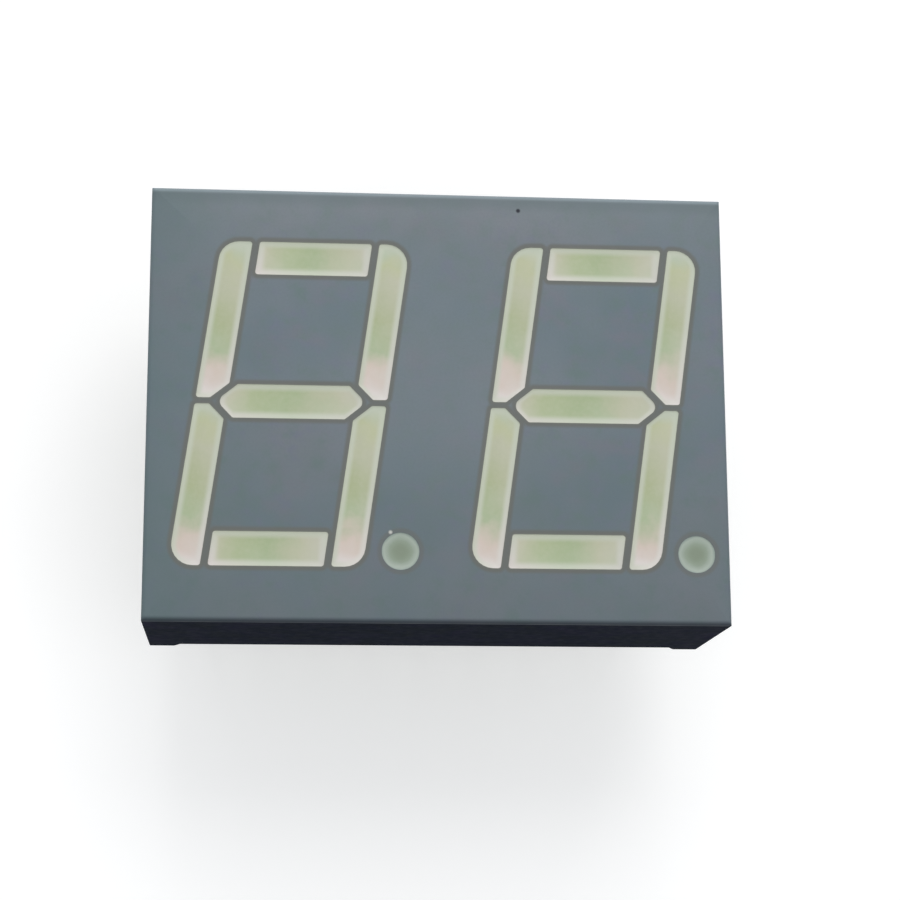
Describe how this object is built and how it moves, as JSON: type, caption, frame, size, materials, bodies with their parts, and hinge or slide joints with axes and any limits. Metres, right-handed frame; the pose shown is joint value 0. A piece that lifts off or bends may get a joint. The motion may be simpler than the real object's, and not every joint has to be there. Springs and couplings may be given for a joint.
{
  "type": "seven segment display",
  "caption": "Seven segment LED display with slanted digits and decimal points, a dark moulded housing, a grey face and wire pins.",
  "frame": {"origin": "middle of the pin pattern, on the plane of the housing's four feet", "axes": "+X along the reading direction, +Y to the top of the digits, +Z out of the front face"},
  "size_m": [0.025, 0.019, 0.014],
  "materials": {
    "black_plastic": "satin moulded",
    "grey_print": "matt screen print",
    "light_resin": "milky cast resin",
    "potting_resin": "milky cast resin",
    "board": "bare laminate",
    "copper": "gold flash",
    "solder": "bright solder",
    "gold_wire": "drawn wire",
    "chip": "sawn crystal",
    "tinned_wire": "bright tin plating"
  },
  "bodies": {
    "root": {"housing": "black_plastic", "face_print": "grey_print", "circuit_board": "board", "copper_tracks": "copper", "solder_joints": "solder", "bond_wires": "gold_wire", "back_potting": "potting_resin", "digit_1_segment_a": "light_resin", "digit_1_segment_b": "light_resin", "digit_1_segment_c": "light_resin", "digit_1_segment_d": "light_resin", "digit_1_segment_e": "light_resin", "digit_1_segment_f": "light_resin", "digit_1_segment_g": "light_resin", "digit_2_segment_a": "light_resin", "digit_2_segment_b": "light_resin", "digit_2_segment_c": "light_resin", "digit_2_segment_d": "light_resin", "digit_2_segment_e": "light_resin", "digit_2_segment_f": "light_resin", "digit_2_segment_g": "light_resin", "digit_1_decimal_point": "light_resin", "digit_2_decimal_point": "light_resin", "digit_1_chip_a": "chip", "digit_1_chip_b": "chip", "digit_1_chip_c": "chip", "digit_1_chip_d": "chip", "digit_1_chip_e": "chip", "digit_1_chip_f": "chip", "digit_1_chip_g": "chip", "digit_1_chip_point": "chip", "digit_2_chip_a": "chip", "digit_2_chip_b": "chip", "digit_2_chip_c": "chip", "digit_2_chip_d": "chip", "digit_2_chip_e": "chip", "digit_2_chip_f": "chip", "digit_2_chip_g": "chip", "digit_2_chip_point": "chip", "pin_1": "tinned_wire", "pin_2": "tinned_wire", "pin_3": "tinned_wire", "pin_4": "tinned_wire", "pin_5": "tinned_wire", "pin_6": "tinned_wire", "pin_7": "tinned_wire", "pin_8": "tinned_wire", "pin_9": "tinned_wire", "pin_10": "tinned_wire", "pin_11": "tinned_wire", "pin_12": "tinned_wire", "pin_13": "tinned_wire", "pin_14": "tinned_wire", "pin_15": "tinned_wire", "pin_16": "tinned_wire", "pin_17": "tinned_wire", "pin_18": "tinned_wire"}
  },
  "joints": []
}
